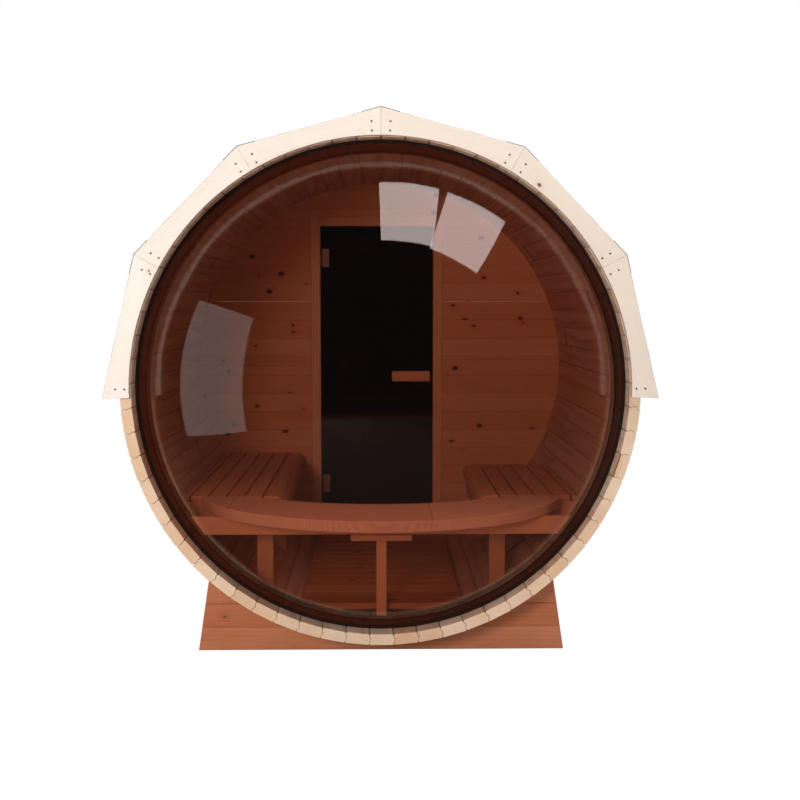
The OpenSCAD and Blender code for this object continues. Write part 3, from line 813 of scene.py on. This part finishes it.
def make_side_benches(material):
    for node, side in (("left_bench", -1), ("right_bench", 1)):
        low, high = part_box(node)
        length = high.y - low.y
        aisle = low.x if side > 0 else -high.x
        limit = high.x if side > 0 else -low.x
        top, bottom = high.z - AXIS_Z, low.z - AXIS_Z
        solids = Solids()
        solids.prism(nose_outline(aisle, top, bottom, side), length, across(low.y), 0.004, tone=0.4)
        x = aisle + NOSE_W + SLAT_GAP
        while x < limit - 0.015:
            x1 = min(x + SLAT_W, limit)
            outline = rectangle(min(side * x, side * x1), max(side * x, side * x1), top - SLAT_T, top, 0.004)
            solids.prism(outline, length, across(low.y), 0.003)
            x += SLAT_W + SLAT_GAP
        solids.piece(node + "_slats", material, slot="bench_wood", nodes=(node,))


def make_bench_frames(material):
    disc = circle(BORE_R, 240)
    for node, side in (("left_bench_frame", -1), ("right_bench_frame", 1)):
        low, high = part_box(node)
        solids = Solids()
        rail_h = 0.070
        bench_low, bench_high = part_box(node.replace("_frame", ""))
        z1 = bench_high.z - AXIS_Z - SLAT_T - FIT
        near, far = low.y, high.y
        aisle = bench_low.x if side > 0 else -bench_high.x
        mid = [(near + far - RAIL_T) / 2] if side < 0 else []
        places = [near] + mid + [far - RAIL_T if side < 0 else far - RAIL_T - 0.060]
        for y in places:
            x0 = aisle + NOSE_W + FIT
            outline = window(disc, x0, 2, z1 - rail_h, z1)
            if side < 0:
                outline = [(-u, v) for u, v in reversed(outline)]
            solids.prism(outline, RAIL_T, across(y), 0.002, along=0)
        x0 = side * (aisle + 0.015)
        z0 = bench_low.z - AXIS_Z - FIT - rail_h
        outline = rectangle(min(x0, x0 + side * RAIL_T), max(x0, x0 + side * RAIL_T), z0, z0 + rail_h, 0.003)
        solids.prism(outline, far - near, across(near), 0.002)
        solids.piece(node + "_rails", material, slot="bench_wood", nodes=(node,))
    make_posts(material, disc)


def make_posts(material, disc):
    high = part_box("bench_posts")[1]
    left_low, left_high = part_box("left_bench_frame")
    right_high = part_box("right_bench_frame")[1]
    post_w, post_t = 0.065, 0.045
    near = left_low.y
    spots = [(1, near), (1, right_high.y - RAIL_T - 0.060), (-1, near), (-1, (near + left_high.y - RAIL_T) / 2)]
    solids = Solids()
    inner = high.x - post_w
    for side, y in spots:
        outline = window(disc, inner, high.x, -1, high.z - AXIS_Z)
        if side < 0:
            outline = [(-u, v) for u, v in reversed(outline)]
        solids.prism(outline, post_t, across(y + (RAIL_T - post_t) / 2), 0.003, along=1)
    solids.piece("bench_post_set", material, slot="bench_wood", nodes=("bench_posts",))


TOP_FRONT_R = 0.760
TOP_REAR_R = 0.800
TOP_REAR_D = 0.144
TOP_JOINTS = (-0.590, 0.186)


def make_window_bench(top_material, material):
    low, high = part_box("window_bench_top")
    solids = Solids()
    edges = [low.x, *TOP_JOINTS, high.x]

    def front(x):
        return low.y + TOP_FRONT_R - math.sqrt(TOP_FRONT_R**2 - x**2)

    def rear(x):
        arc = WINDOW_Y + TOP_REAR_D + TOP_REAR_R - math.sqrt(TOP_REAR_R**2 - x**2)
        return min(arc, high.y)

    for x0, x1 in zip(edges, edges[1:]):
        x0, x1 = x0 + 0.0003, x1 - 0.0003
        steps = max(6, round((x1 - x0) / 0.018))
        xs = [x0 + (x1 - x0) * s / steps for s in range(steps + 1)]
        outline = [(x, front(x)) for x in xs] + [(x, rear(x)) for x in reversed(xs)]
        solids.prism(outline, high.z - low.z, upright(low.z), 0.0035, along=0)
    solids.piece("window_bench_boards", top_material, slot="bench_top_wood", nodes=("window_bench_top",))

    opening = circle(RING_INNER_R - FIT, 240)
    low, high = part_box("window_bench_beam")
    beam = Solids()
    outline = window(opening, -1, 1, low.z - AXIS_Z, high.z - AXIS_Z)
    beam.prism(outline, high.y - low.y, across(low.y), 0.002, along=0)
    beam.piece("window_bench_rail", material, slot="bench_wood", nodes=("window_bench_beam",))

    low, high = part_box("window_bench_support")
    post_w, bar_t = 0.040, 0.025
    support = Solids()
    bar = rectangle(low.x, high.x, high.z - AXIS_Z - bar_t, high.z - AXIS_Z, 0.004)
    support.prism(bar, high.y - low.y, across(low.y), 0.003, along=0)
    post = window(opening, -post_w / 2, post_w / 2, -1, high.z - AXIS_Z - bar_t)
    support.prism(post, high.y - low.y, across(low.y), 0.003, along=1)
    support.piece("window_bench_prop", material, slot="bench_wood", nodes=("window_bench_support",))


def make_floor(material):
    low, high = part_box("floor_boards")
    gap = 0.004
    count = round((high.y + gap - low.y) / 0.099)
    step = (high.y + gap - low.y) / count
    boards, bearers = Solids(), Solids()
    for i in range(count):
        y = low.y + i * step
        outline = rectangle(y, y + step - gap, low.z, high.z, 0.003)
        boards.prism(outline, high.x - low.x, crosswise(low.x), 0.002)
    boards.piece("floor_planks", material, slot="floor_wood", nodes=("floor_boards",))
    low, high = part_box("floor_bearers")
    disc = circle(BORE_R, 240)
    width = 0.045
    for x0 in (low.x, high.x - width):
        outline = window(disc, x0, x0 + width, -1, high.z - AXIS_Z)
        bearers.prism(outline, high.y - low.y, across(low.y), 0.002)
    bearers.piece("floor_bearer_rails", material, slot="floor_wood", nodes=("floor_bearers",))


# ---------------------------------------------------------------- stage and light


def make_stage():
    t = Tree("stage_floor")
    path = t.add("LightPath")
    base = t.add("BsdfDiffuse", {"Color": (0.9, 0.9, 0.9, 1)})
    glow = t.add("Emission", {"Color": (1, 1, 1, 1), "Strength": 1.0})
    dim = t.add("BsdfDiffuse", {"Color": (0.12, 0.1, 0.09, 1)})
    seen = t.add("MixShader", {0: path.outputs["Is Camera Ray"], 1: base.outputs[0], 2: glow.outputs[0]})
    mirrored = t.add("MixShader", {0: path.outputs["Is Glossy Ray"], 1: seen.outputs[0], 2: dim.outputs[0]})
    material = t.finish(mirrored.outputs[0])
    mesh = bpy.data.meshes.new("stage_floor")
    size = 30
    mesh.from_pydata([(-size, -size, 0), (size, -size, 0), (size, size, 0), (-size, size, 0)], [], [(0, 1, 2, 3)])
    mesh.materials.append(material)
    floor = bpy.data.objects.new("stage_floor", mesh)
    scene.collection.objects.link(floor)


def make_world():
    world = bpy.data.worlds.new("studio")
    scene.world = world
    world.use_nodes = True
    nodes, links = world.node_tree.nodes, world.node_tree.links
    nodes.clear()
    path = nodes.new("ShaderNodeLightPath")
    plain, seen, mirrored = (nodes.new("ShaderNodeBackground") for _ in range(3))
    plain.inputs["Strength"].default_value = 0.38
    seen.inputs["Strength"].default_value = 1.0
    mirrored.inputs["Strength"].default_value = 0.04
    for shade in (plain, seen, mirrored):
        shade.inputs["Color"].default_value = (1, 1, 1, 1)
    first, second = nodes.new("ShaderNodeMixShader"), nodes.new("ShaderNodeMixShader")
    links.new(path.outputs["Is Glossy Ray"], first.inputs[0])
    links.new(plain.outputs[0], first.inputs[1])
    links.new(mirrored.outputs[0], first.inputs[2])
    links.new(path.outputs["Is Camera Ray"], second.inputs[0])
    links.new(first.outputs[0], second.inputs[1])
    links.new(seen.outputs[0], second.inputs[2])
    out = nodes.new("ShaderNodeOutputWorld")
    links.new(second.outputs[0], out.inputs[0])


def softbox(name, corners, power):
    """A rectangular lamp fitted to four corners in order round it.
    Corners are (x, depth, height) from the window-end stave ends and the axis."""
    points = [Vector((x, WINDOW_Y + d, AXIS_Z + h)) for x, d, h in corners]
    middle = sum(points, Vector()) / 4
    wide = (points[1] - points[0] + points[2] - points[3]) / 2
    tall = (points[0] - points[3] + points[1] - points[2]) / 2
    normal = wide.cross(tall).normalized()
    if normal.dot(Vector((0, WINDOW_Y, AXIS_Z)) - middle) > 0:
        normal, wide = -normal, -wide
    across_axis = wide.normalized()
    up_axis = normal.cross(across_axis)
    data = bpy.data.lights.new(name, "AREA")
    data.shape = "RECTANGLE"
    data.size, data.size_y = wide.length, tall.length
    data.energy = power
    lamp = bpy.data.objects.new(name, data)
    scene.collection.objects.link(lamp)
    turn = Matrix((across_axis, up_axis, normal)).transposed().to_4x4()
    lamp.matrix_world = Matrix.Translation(middle) @ turn


def plain_lamps():
    """One lamp beside the camera, which reaches through the dome to the door wall, and one behind.
    Neither makes a highlight."""
    softbox("front_lamp", ((-1.9, -4.9, 1.3), (-0.9, -5.1, 1.3), (-0.9, -5.1, 0.4), (-1.9, -4.9, 0.4)), 160)
    softbox("rear_lamp", ((1.2, 6.8, 2.6), (3.2, 6.4, 2.6), (3.2, 6.4, 1.0), (1.2, 6.8, 1.0)), 90)
    for name in ("front_lamp", "rear_lamp"):
        bpy.data.objects[name].visible_glossy = False


def make_lights():
    softbox("top_lamp", ((-0.12, 0.13, 4.25), (1.30, 0.18, 4.04), (1.20, -1.80, 3.50), (0.08, -1.90, 3.65)), 50)
    softbox("upper_right_lamp", ((1.41, 0.17, 4.00), (2.78, 0.22, 3.20), (2.23, -1.85, 2.94), (1.23, -1.90, 3.46)), 52)
    softbox("left_lamp", ((-3.2, -1.95, 1.7), (-3.8, 0.0, 1.7), (-3.8, 0.0, -2.9), (-3.2, -1.95, -2.9)), 34)
    plain_lamps()
    scene.view_settings.view_transform = "Standard"


# ---------------------------------------------------------------- build


def dress_kept_nodes(woods, steel):
    """The CAD pieces whose shape is right keep it and take a better material."""
    plain = {
        "roof_deck": woods["deck_wood"], "roof_battens": woods["deck_wood"], "window_ring": woods["ring_wood"],
        "steel_hoops": steel, "hinge_leaves": steel, "hinge_bases": steel,
    }
    for node, material in plain.items():
        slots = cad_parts[node].material_slots
        for slot in slots:
            slot.material = material


make_camera()
woods = {name: wood(name, **look) for name, look in WOODS.items()}
woods["deck_wood"] = wood(
    "deck_wood", colour(226, 200, 164), colour(176, 134, 92), colour(212, 180, 140), by_object=True
)
woods["ring_wood"] = wood(
    "ring_wood", colour(112, 70, 48), colour(70, 40, 26), colour(96, 58, 40), by_object=True
)
steel_material = brushed_steel()
bitumen_material = bitumen()
acrylic_material = smoked_acrylic()
glass_material = dark_glass()
rubber_material = black_rubber()

make_staves(woods["stave_wood"])
make_cradles(woods["cradle_wood"])
make_fascias(woods["fascia_wood"], steel_material)
make_shingles(bitumen_material)
make_dome(acrylic_material, rubber_material)
make_door_wall(woods["wall_wood"])
make_door_frame(woods["frame_wood"])
make_door(glass_material, woods["handle_wood"], steel_material)
make_side_benches(woods["bench_wood"])
make_bench_frames(woods["bench_wood"])
make_window_bench(woods["bench_top_wood"], woods["bench_wood"])
make_floor(woods["floor_wood"])
dress_kept_nodes(woods, steel_material)
make_stage()
make_world()
make_lights()
